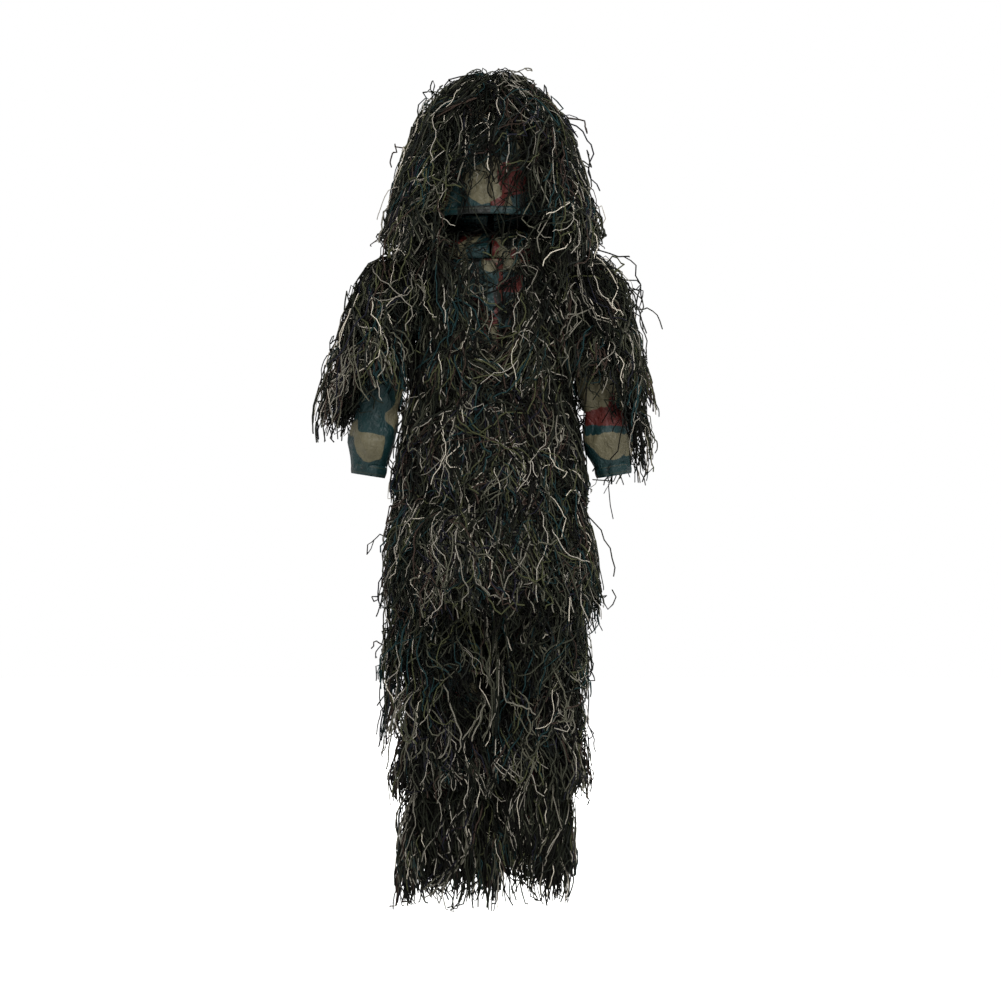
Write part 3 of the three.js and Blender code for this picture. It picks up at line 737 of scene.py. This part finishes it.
def make_hood_cloth():
    """Two panels, joined over the crown, whose lower front hangs free as a drape over the face."""
    hem = HEAD.along[-1]

    def drape(p, s, turn):
        folds = 3 * MM * creases(p, (28 * MM, 60 * MM, 90 * MM), 2) + 1.5 * MM * ripple(p, 14 * MM, 4)
        return folds * np.clip(s / 0.05, 0, 1) + 2.5 * MM * pleats(p, s, hem, 0.015, HEAD, 8 * MM) - 3.5 * MM

    for side, angles in (("left", (0, 180)), ("right", (180, 360))):
        cloth_panel(f"{side}_hood_cloth", HEAD, "hood", [f"{side}_hood_panel"], (0, hem), angles, fold=drape,
                    cell=4.5 * MM, hems=["bottom"], print_at=HOOD_PRINT[side], patches=HOOD_PATCHES)
    binding = lambda p, s, turn: 1.3 * MM * pleats(p, s, hem, 1.0, HEAD, 6 * MM)
    cloth_panel("hood_hem_band", HEAD, "hood", ["hood_hem_elastic"], (hem - 0.014, hem), (0, 360),
                fold=binding, cell=4 * MM, thickness=2 * MM, slot="elastic", print_at=(0.1, 0.4),
                hems=["top"], patches=teal_band(hem))


SEWN_TO = {
    "jacket_back_cloth": ["left_yoke_cloth", "right_yoke_cloth"],
    "jacket_collar_cloth": ["left_yoke_cloth", "right_yoke_cloth"],
    "hood_hem_band": ["left_hood_cloth", "right_hood_cloth"],
    "trouser_seat_cloth": ["waist_band"],
    "crotch_gusset_cloth": ["trouser_seat_cloth"],
}
for side in ("left", "right"):
    SEWN_TO[f"{side}_front_cloth"] = SEWN_TO[f"{side}_sleeve_cloth"] = [f"{side}_yoke_cloth"]
    SEWN_TO[f"{side}_placket_cloth"] = [f"{side}_front_cloth"]
    SEWN_TO[f"{side}_cuff_band"] = [f"{side}_sleeve_cloth"]
    SEWN_TO[f"{side}_trouser_leg"] = ["trouser_seat_cloth"]
    SEWN_TO[f"{side}_ankle_band"] = [f"{side}_trouser_leg"]


make_jacket_cloth()
make_sleeves()
make_trouser_cloth()
make_hood_cloth()

# ---- yarn ----

DOWN = np.array([0.0, 0.0, -1.0])


def tube_mesh(name, paths, widths, sides):
    """Every path as a thin tube of yarn that closes to a point at both ends, in one mesh."""
    curve = bpy.data.curves.new(name, "CURVE")
    curve.dimensions = "3D"
    shape = bpy.data.curves.new(name + "_section", "CURVE")
    ring = shape.splines.new("POLY")
    ring.points.add(sides - 1)
    ring.use_cyclic_u = True
    for k, point in enumerate(ring.points):
        turn = -math.tau * k / sides
        point.co = (YARN_RADIUS * math.cos(turn), YARN_RADIUS * math.sin(turn), 0, 1)
    section = add_object(name + "_section", shape)
    curve.bevel_mode = "OBJECT"
    curve.bevel_object = section
    for path, width in zip(paths, widths):
        spline = curve.splines.new("POLY")
        spline.points.add(len(path) - 1)
        spline.points.foreach_set("co", np.c_[path, np.ones(len(path))].ravel())
        radii = np.full(len(path), width)
        radii[[0, -1]] = 0
        spline.points.foreach_set("radius", radii)
    holder = add_object(name + "_curve", curve)
    mesh = shaped_mesh(name, holder)
    for spare in (holder, section):
        bpy.data.objects.remove(spare)
    for spare in (curve, shape):
        bpy.data.curves.remove(spare)
    return mesh


def label_strands(mesh, paths, tones, sides):
    """Gives each strand its dye, a map along its ply, and a cell of its own in a flat map."""
    counts = np.array([len(path) for path in paths])
    starts = np.concatenate([[0], np.cumsum(sides * counts)[:-1]])
    tone = mesh.attributes.new("tone", "FLOAT", "POINT")
    tone.data.foreach_set("value", np.repeat(tones, sides * counts).astype(np.float32))

    corner = np.empty(len(mesh.loops), np.int32)
    mesh.loops.foreach_get("vertex_index", corner)
    strand = np.searchsorted(starts, corner, side="right") - 1
    ring, place = np.divmod(corner - starts[strand], sides)
    around = place.reshape(-1, 4)
    closes = (around.max(1) == sides - 1) & (around.min(1) == 0)
    around[closes] = np.where(around[closes] == 0, sides, around[closes])
    around = around.ravel() / sides

    run = [np.r_[0, np.cumsum(np.linalg.norm(np.diff(path, axis=0), axis=1))] for path in paths]
    ring_start = np.concatenate([[0], np.cumsum(counts)[:-1]])
    length = np.concatenate(run)[ring_start[strand] + ring]
    ply = mesh.uv_layers.new(name="Ply")
    ply.data.foreach_set("uv", np.c_[length / YARN_TWIST, around].astype(np.float32).ravel())

    cells = math.ceil(math.sqrt(len(paths)))
    share = ring / (counts[strand] - 1)
    u = (strand % cells + 0.15 + 0.7 * share) / cells
    v = (strand // cells + 0.15 + 0.7 * around) / cells
    flat = mesh.uv_layers.new(name="OFBake")
    flat.data.foreach_set("uv", np.c_[u, v].astype(np.float32).ravel())


def close_ends(mesh):
    """Joins up the points that each tube closes to."""
    work = bmesh.new()
    work.from_mesh(mesh)
    bmesh.ops.remove_doubles(work, verts=work.verts, dist=0.002 * MM)
    work.to_mesh(mesh)
    work.free()
    mesh.shade_smooth()


TUFT = 7  # strands that are sewn down together
CLUMP = 0.7  # how far a tuft's tips draw together
MEMORY = 0.7  # how much of its waviness a strand keeps from one step to the next
WAVE_STEP = 18 * MM  # the length of step that a tier's wave is for
CURL_FROM = 0.55  # how far down its length a curling strand starts to turn up
ROOM = np.array([list(CAD_BOX[0]), list(CAD_BOX[1])])  # the yarn may stand a little proud of the CAD
ROOM += np.array([[-1], [1]]) * (0.028 * (ROOM[1] - ROOM[0]) + 7 * MM)


def grow(limb, tier, s, angle, length, layer, points, rng):
    """Paths of yarn from roots on a limb. Each stands off the cloth, falls, waves, and rests on
    its layer, and the strands of a tuft draw together into a lock."""
    count = len(s)
    tuft = np.arange(count) // TUFT
    tufts = tuft[-1] + 1
    stray = rng.uniform(size=count) < tier["strays"]
    curl = rng.uniform(size=count) < tier["curls"]
    across = unit(np.cross(limb.slope(s, angle), DOWN) + limb.point(s, angle + 2) - limb.point(s, angle))
    comb = tier["comb"](s, angle) if "comb" in tier else 0.0
    lean = rng.normal(0, tier["lean"], tufts)[tuft] + rng.normal(0, 0.6 * tier["lean"], count) + comb
    wave = 0.6 * tier["wave"] * rng.normal(0, 1, (count, 3))
    over = rng.uniform(-2, 20, count) * MM  # how far a strand may cross to the other leg's side
    slack = np.where(stray, 40 * MM, rng.uniform(4, 16, count) * MM)  # how far it may rise
    p, facing, _ = limb.settle(limb.point(s, angle), 0.5 * MM)
    path = [p]
    top, end = tier["s"][0], tier["end"]
    step = (length / (points - 1))[:, None]
    pace = np.sqrt(step / WAVE_STEP)
    for k in range(1, points):
        grown = k / (points - 1)
        # A jolt is partly the tuft's and partly the strand's own.
        jolt = 0.72 * rng.normal(0, 1, (tufts, 3))[tuft] + 0.7 * rng.normal(0, 1, (count, 3))
        jolt *= tier["wave"] * np.where(stray, 1.2, 1)[:, None]
        wave = MEMORY * wave + math.sqrt(1 - MEMORY**2) * jolt
        into = np.minimum(facing @ DOWN, 0)[:, None] * facing
        fall = unit(DOWN - 0.95 * into + 0.1 * limb.slope(s, angle))
        lift = tier["lift"] * np.exp(-k * step / 0.03)
        turn_up = np.where(curl, 2.4 * max(0, grown - CURL_FROM), 0)[:, None]
        heading = unit(fall * (1 - turn_up) + facing * lift + across * lean[:, None] + wave * pace)
        p = p + heading * step
        depth = np.clip((limb.local(p)[0] - top) / (end - top), 0, 1)
        pile = tier["pile"][0] + (tier["pile"][1] - tier["pile"][0]) * depth
        least = 1.5 * MM + layer * pile * min(1, 2.5 * grown)
        p, facing, _ = limb.settle(p, least, least + slack)
        for other, room in tier.get("avoid", ()):
            p = other.settle(p, room + 0.3 * least)[0]
        if "side" in tier:
            p[:, 0] = tier["side"] * np.maximum(p[:, 0] * tier["side"], -over)
        path.append(np.clip(p, ROOM[0], ROOM[1]))
    path = np.stack(path, axis=1)
    lock = path.reshape(tufts, TUFT, points, 3).mean(1)[tuft]
    pull = (CLUMP * np.linspace(0, 1, points) ** 1.5)[None, :, None] * (~stray)[:, None, None]
    path += (lock - path) * pull * rng.uniform(0.3, 1, (count, 1, 1))
    tip = path[:, -1] + unit(path[:, -1] - path[:, -2]) * 1.5 * MM
    return np.concatenate([path, tip[:, None]], axis=1)


def tier_paths(limb, tier, count, points, rng, outer):
    """The strands of a tier, in tufts along its sewn rows. They end about where the tier does."""
    rows = np.array(tier.get("rows") or np.linspace(tier["s"][0], tier["s"][1], tier["n_rows"]))
    tufts = max(1, round(count / TUFT))
    low, high = tier["angles"]
    row = rng.choice(rows, tufts)
    turn = rng.uniform(low, high, tufts)
    if "thin_out" in tier:
        keep = rng.uniform(size=tufts) < tier["thin_out"](row, turn)
        row, turn = row[keep], turn[keep]
    s = np.repeat(row, TUFT) + rng.normal(0, 4 * MM, len(row) * TUFT)
    girth = np.maximum(limb.section(s)[0], 20 * MM)
    angle = np.repeat(turn, TUFT) + np.degrees(rng.normal(0, 5 * MM, len(s)) / girth)
    s = np.maximum(s, 0.5 * MM)
    layer = rng.uniform(0.6, 1.0, len(s)) if outer else rng.uniform(0, 0.85, len(s))
    ragged = np.repeat(rng.normal(1, tier["ragged"], len(row)), TUFT)
    end = tier["end"] + tier["uneven"] * np.sin(np.radians(3 * angle))
    wanted = (end - s) * ragged * rng.normal(*tier["length"], len(s)) + rng.uniform(0.0, 0.04, len(s))
    length = np.clip(wanted, *tier["cut"])
    return grow(limb, tier, s, angle, length, layer, points, rng)


def mirror_tier(tier):
    """The same tier on the other side of the body."""
    other = dict(tier)
    low, high = tier["angles"]
    other["angles"] = (-high, -low)
    if "thin_out" in tier:
        other["thin_out"] = lambda row, turn: tier["thin_out"](row, -turn)
    if "side" in tier:
        other["side"] = -tier["side"]
    if "comb" in tier:
        other["comb"] = lambda s, angle: -tier["comb"](s, -angle)
    return other


# A tier's rows are sewn at heights s and between angles, and it hangs down to end. pile is how far
# it stands off the limb at its top and at its end, and avoid names limbs that it keeps clear of.
# This is what a tier has unless it says otherwise: lift stands its roots up, lean, wave, strays and
# curls shape its strands, and the rest spreads their lengths.
BASE = {
    "lift": 1.1, "lean": 0.32, "wave": 0.72, "strays": 0.03, "curls": 0.2, "n_rows": 4,
    "length": (1.12, 0.2), "ragged": 0.2, "uneven": 0.012, "cut": (0.05, 0.29),
}
UNDER_POINTS, OUTER_POINTS = 7, 16
OUTER_SHARE = 0.4  # of a tier's strands, those that lie on top
DENSITY = 0.83  # the strands made for each that a tier counts
TOP_DYE = 0.925  # the dyed yarn's tones end here
UNDYED = 0.93  # and the undyed yarn's start here
PALE_SHARE = 0.13  # of the strands on top, those that are undyed
UNDER_SHADE_TONES = 0.28  # painted shade: the under layer keeps to the darkest dyes, so that it reads as the shade between the strands on top


def make_tier(name, limb, body, tiers, seed):
    """A sewn tier of yarn as two pieces: the dense under layer, and the strands that show on top."""
    rng = np.random.default_rng(seed)
    for outer in (False, True):
        share = OUTER_SHARE if outer else 1 - OUTER_SHARE
        points = OUTER_POINTS if outer else UNDER_POINTS
        sides = 4 if outer else 3
        paths = []
        for tier in tiers:
            if tier.get("sparse") and not outer:
                continue
            settings = {**BASE, **tier} if outer else {**BASE, **tier, "strays": 0}
            paths += list(tier_paths(limb, settings, tier["count"] * DENSITY * share, points, rng, outer))
        tufts = np.arange(len(paths)) // TUFT
        tones = rng.uniform(0, 0.87, tufts[-1] + 1)[tufts] + rng.normal(0, 0.08, len(paths))
        # painted shade: the under layer's tones are squeezed into the darkest dyes, standing for the shade
        # under the top strands
        tones = np.clip(tones, 0, TOP_DYE) if outer else UNDER_SHADE_TONES * np.clip(tones, 0, 1)
        if outer:
            pale = rng.uniform(size=len(paths)) < PALE_SHARE
            tones[pale] = rng.uniform(UNDYED, 1.0, pale.sum())
        title = name + ("_strands" if outer else "_underlayer")
        widths = rng.uniform(0.75, 1.25, len(paths))
        widths = np.where(tones >= UNDYED, 0.68 * widths, widths)  # the undyed yarn is a thinner ply
        mesh = tube_mesh(title, paths, widths, sides)
        label_strands(mesh, paths, tones, sides)
        close_ends(mesh)
        mesh.materials.append(YARN)
        hand_over(add_object(title, mesh), body, [name])


def on_both_sides(name, limbs, bodies, tiers, seed):
    """The same tiers left and right, where a dict gives each side its own."""
    for side in ("left", "right"):
        body = bodies[side] if isinstance(bodies, dict) else bodies.format(side=side)
        limb = limbs[side] if isinstance(limbs, dict) else limbs
        chosen = tiers[side] if isinstance(tiers, dict) else tiers
        chosen = chosen if side == "left" else [mirror_tier(t) for t in chosen]
        make_tier(f"{side}_{name}", limb, body, chosen, seed + (side == "right"))


def aside(angle, reach):
    """Combs yarn away from a parting a little to the left of the front."""
    off = turned(angle - 5)
    return np.sign(off) * (np.abs(off) < reach)


def make_jacket_yarn():
    fronts = {side: opening(side) for side in ("left", "right")}
    shoulder = {
        "s": (0.004, 0.045), "angles": (30, 168), "count": 900, "end": 0.2, "pile": (0.016, 0.04),
        "comb": lambda s, angle: 0.4 * (np.abs(turned(angle)) < 60),
        "avoid": [(ARMS["left"], 8 * MM), (ARMS["right"], 8 * MM)],
        "length": (0.85, 0.2), "rows": [0.004, 0.012, 0.02, 0.03, 0.045],
    }
    on_both_sides("shoulder_yarn", TORSO, "suit_body", [shoulder], 10)
    chest = {"s": (0.065, 0.22), "count": 620, "end": 0.31, "pile": (0.012, 0.022)}
    parted = {
        **chest, "thin_out": lambda row, turn: np.where(np.abs(turned(turn - 4)) < 15, 0.03, 1.0),
        "comb": lambda s, angle: 0.6 * aside(angle, 30),
    }
    for side, angles, seed in (("left", (9, 47), 20), ("right", (-47, -7), 21)):
        make_tier(side + "_chest_yarn", TORSO, fronts[side], [{**parted, "angles": angles}], seed)
    waist = {"s": (0.285, 0.415), "angles": (-3, 47), "count": 850, "end": 0.49, "pile": (0.012, 0.03)}
    on_both_sides("waist_yarn", TORSO, fronts, [waist], 30)
    hem = {
        "s": (0.465, 0.575), "angles": (-3, 47), "count": 850, "end": 0.695, "pile": (0.012, 0.045),
        "uneven": 0.02,
    }
    full_hem = {**hem, "pile": (0.02, 0.068)}
    on_both_sides("hem_yarn", TORSO, fronts, {"left": [hem], "right": [full_hem]}, 40)
    for name, tier, angles, count, seed in (
        ("upper_back_yarn", chest, (115, 245), 1300, 50),
        ("middle_back_yarn", waist, (48, 312), 2100, 52),
        ("lower_back_yarn", hem, (48, 312), 2100, 54),
    ):
        make_tier(name, TORSO, "suit_body", [{**tier, "angles": angles, "count": count}], seed)


def make_sleeve_yarn():
    upper = {
        "s": (0.006, 0.19), "angles": (50, 195), "count": 1050, "end": 0.275, "pile": (0.012, 0.062),
        "n_rows": 6, "avoid": [(TORSO, 4 * MM)], "length": (1.08, 0.2),
    }
    inner = {**upper, "s": (0.006, 0.15), "angles": (-15, 50), "count": 430, "end": 0.222, "n_rows": 5}
    flared = {**upper, "end": 0.3, "pile": (0.012, 0.085), "lean": 0.4}
    uppers = {"left": [upper, inner], "right": [flared, inner]}
    on_both_sides("upper_sleeve_yarn", ARMS, "{side}_arm", uppers, 60)
    lower = {
        "s": (0.2, 0.26), "angles": (72, 170), "count": 460, "end": 0.43, "pile": (0.03, 0.065),
        "n_rows": 2, "length": (0.85, 0.2), "comb": lambda s, angle: 0.35,
    }
    short = {**lower, "s": (0.2, 0.245), "end": 0.345, "pile": (0.045, 0.085), "angles": (80, 185)}
    on_both_sides("lower_sleeve_yarn", ARMS, "{side}_arm", {"left": [lower], "right": [short]}, 70)


def make_trouser_yarn():
    """Each leg's strands keep to their own side, so that the knees bend one at a time."""
    thigh = {
        "s": (0.01, 0.15), "angles": (-60, 240), "count": 1450, "end": 0.285, "pile": (0.012, 0.05),
        "side": 1,
    }
    over_knee = {**thigh, "s": (0.19, 0.27), "count": 500, "end": 0.36, "n_rows": 2}
    knees = {side: knee_bend(side) for side in ("left", "right")}
    fuller = [{**tier, "pile": (0.03, 0.085)} for tier in (thigh, over_knee)]
    on_both_sides("thigh_yarn", LEGS, knees, {"left": [thigh, over_knee], "right": fuller}, 80)
    shin = {
        "s": (0.3, 0.38), "angles": (-75, 255), "count": 1250, "end": 0.44, "pile": (0.02, 0.055),
        "n_rows": 3, "side": 1,
    }
    on_both_sides("shin_yarn", LEGS, "{side}_lower_leg", [shin], 90)
    ankle = {
        "s": (0.405, 0.56), "angles": (-85, 265), "count": 1500, "end": 0.592, "pile": (0.012, 0.022),
        "side": 1, "ragged": 0.26, "uneven": 0.032, "wave": 0.45, "curls": 0.1, "strays": 0.0,
    }
    longer = {**ankle, "end": 0.62, "pile": (0.03, 0.05)}
    on_both_sides("ankle_yarn", LEGS, "{side}_lower_leg", {"left": [ankle], "right": [longer]}, 100)


def make_hood_yarn():
    over = [(TORSO, 20 * MM), (ARMS["left"], 32 * MM), (ARMS["right"], 32 * MM)]
    comb = lambda s, angle: 1.2 * aside(angle, 46) * (s > 0.02)
    bush = {"end": 0.33, "pile": (0.04, 0.085), "avoid": over, "comb": comb, "lift": 0.8}
    crown = {
        **bush, "s": (0.001, 0.05), "angles": (32, 328), "count": 1000, "n_rows": 5, "end": 0.18,
        "pile": (0.014, 0.06), "length": (1.15, 0.25),
    }
    fringe = {**crown, "angles": (-34, 34), "count": 330, "end": 0.12, "lean": 0.5, "cut": (0.04, 0.17)}
    veil = {
        **crown, "s": (0.03, 0.085), "angles": (-22, 32), "count": 150, "end": 0.235, "lean": 0.3,
        "pile": (0.006, 0.016), "sparse": True, "comb": lambda s, angle: 0.0,
    }
    make_tier("hood_crown_yarn", HEAD, "hood", [crown, fringe, veil], 110)
    window = lambda row, turn: np.where(np.abs(turn - 5) < 31, np.where(row < 0.075, 0.3, 0.0), 1.0)
    front = {**bush, "s": (0.05, 0.2), "angles": (-42, 42), "count": 950, "thin_out": window, "n_rows": 6}
    make_tier("hood_front_yarn", HEAD, "hood", [front], 112)
    side = {
        **bush, "s": (0.05, 0.235), "angles": (42, 138), "count": 1600, "n_rows": 6, "end": 0.35,
        "pile": (0.04, 0.095),
    }
    on_both_sides("hood_side_yarn", HEAD, "hood", [side], 114)
    back = {**side, "angles": (138, 222), "count": 1200, "end": 0.33, "pile": (0.028, 0.052)}
    make_tier("hood_back_yarn", HEAD, "hood", [back], 118)


make_jacket_yarn()
make_sleeve_yarn()
make_trouser_yarn()
make_hood_yarn()

# ---- studio ----


FLOOR_GLOW = {"From_Min": 1.3, "From_Max": 3.6, "To_Min": 0.33, "To_Max": 0.98}  # by metres away
LAMPS = (  # name, place, size in metres and power in watts
    ("Key", (1.0, -3.7, 2.5), 1.8, 400),
    ("Fill", (-2.6, -3.4, 0.8), 2.4, 28),
    ("Rim", (1.2, 3.8, 2.0), 2.4, 300),
    ("Left side", (3.9, 1.2, 1.0), 2.4, 130),
    ("Right side", (-3.9, 1.2, 1.0), 2.4, 120),
)


def make_floor():
    """A lit studio floor, which glows whiter further out, so that it meets the backdrop unseen."""
    plane = bmesh.new()
    bmesh.ops.create_grid(plane, x_segments=1, y_segments=1, size=9)
    for vert in plane.verts:
        vert.co.z = FLOOR_Z
    mesh = bpy.data.meshes.new("studio_floor")
    plane.to_mesh(mesh)
    plane.free()
    paper, tree, shader = start_material(
        "Backlit white studio floor", Roughness=0.9, Base_Color=linear("#e2e2e0"),
        Emission_Color=(1, 1, 1, 1),
    )
    place = add_node(tree, "ShaderNodeTexCoord").outputs["Object"]
    away = add_node(tree, "ShaderNodeVectorMath", {0: place}, operation="LENGTH").outputs["Value"]
    glow = add_node(
        tree, "ShaderNodeMapRange", {"Value": away}, interpolation_type="SMOOTHSTEP", **FLOOR_GLOW
    )
    tree.links.new(glow.outputs["Result"], shader.inputs["Emission Strength"])
    mesh.materials.append(paper)
    add_object("studio_floor", mesh)


def make_studio():
    """A plain white backdrop that lights the suit only faintly, and broad soft lamps."""
    world = bpy.data.worlds.new("Studio")
    bpy.context.scene.world = world
    world.use_nodes = True
    tree = world.node_tree
    backdrop = tree.nodes["Background"]
    backdrop.inputs["Color"].default_value = (1, 1, 1, 1)
    room = add_node(tree, "ShaderNodeBackground", Strength=0.05)
    seen = add_node(tree, "ShaderNodeLightPath")
    sky = add_node(
        tree, "ShaderNodeMixShader",
        {0: seen.outputs["Is Camera Ray"], 1: room.outputs[0], 2: backdrop.outputs[0]},
    )
    tree.links.new(sky.outputs[0], tree.nodes["World Output"].inputs["Surface"])
    aim = Vector((0, 0, VIEW_CENTRE[1]))
    for name, place, size, power in LAMPS:
        light = bpy.data.lights.new(name, "AREA")
        light.size, light.energy = size, power
        lamp = add_object(name, light)
        lamp.location = place
        lamp.rotation_euler = (aim - Vector(place)).to_track_quat("-Z", "Y").to_euler()


def make_camera():
    data = bpy.data.cameras.new("Camera")
    data.sensor_width = 36
    data.lens = data.sensor_width * CAMERA_DISTANCE / VIEW_WIDTH
    camera = add_object("Camera", data)
    camera.location = (VIEW_CENTRE[0], -CAMERA_DISTANCE, VIEW_CENTRE[1])
    camera.rotation_euler = (math.pi / 2, 0, 0)
    bpy.context.scene.camera = camera


make_floor()
make_studio()
make_camera()
bpy.context.scene.view_settings.view_transform = "Standard"
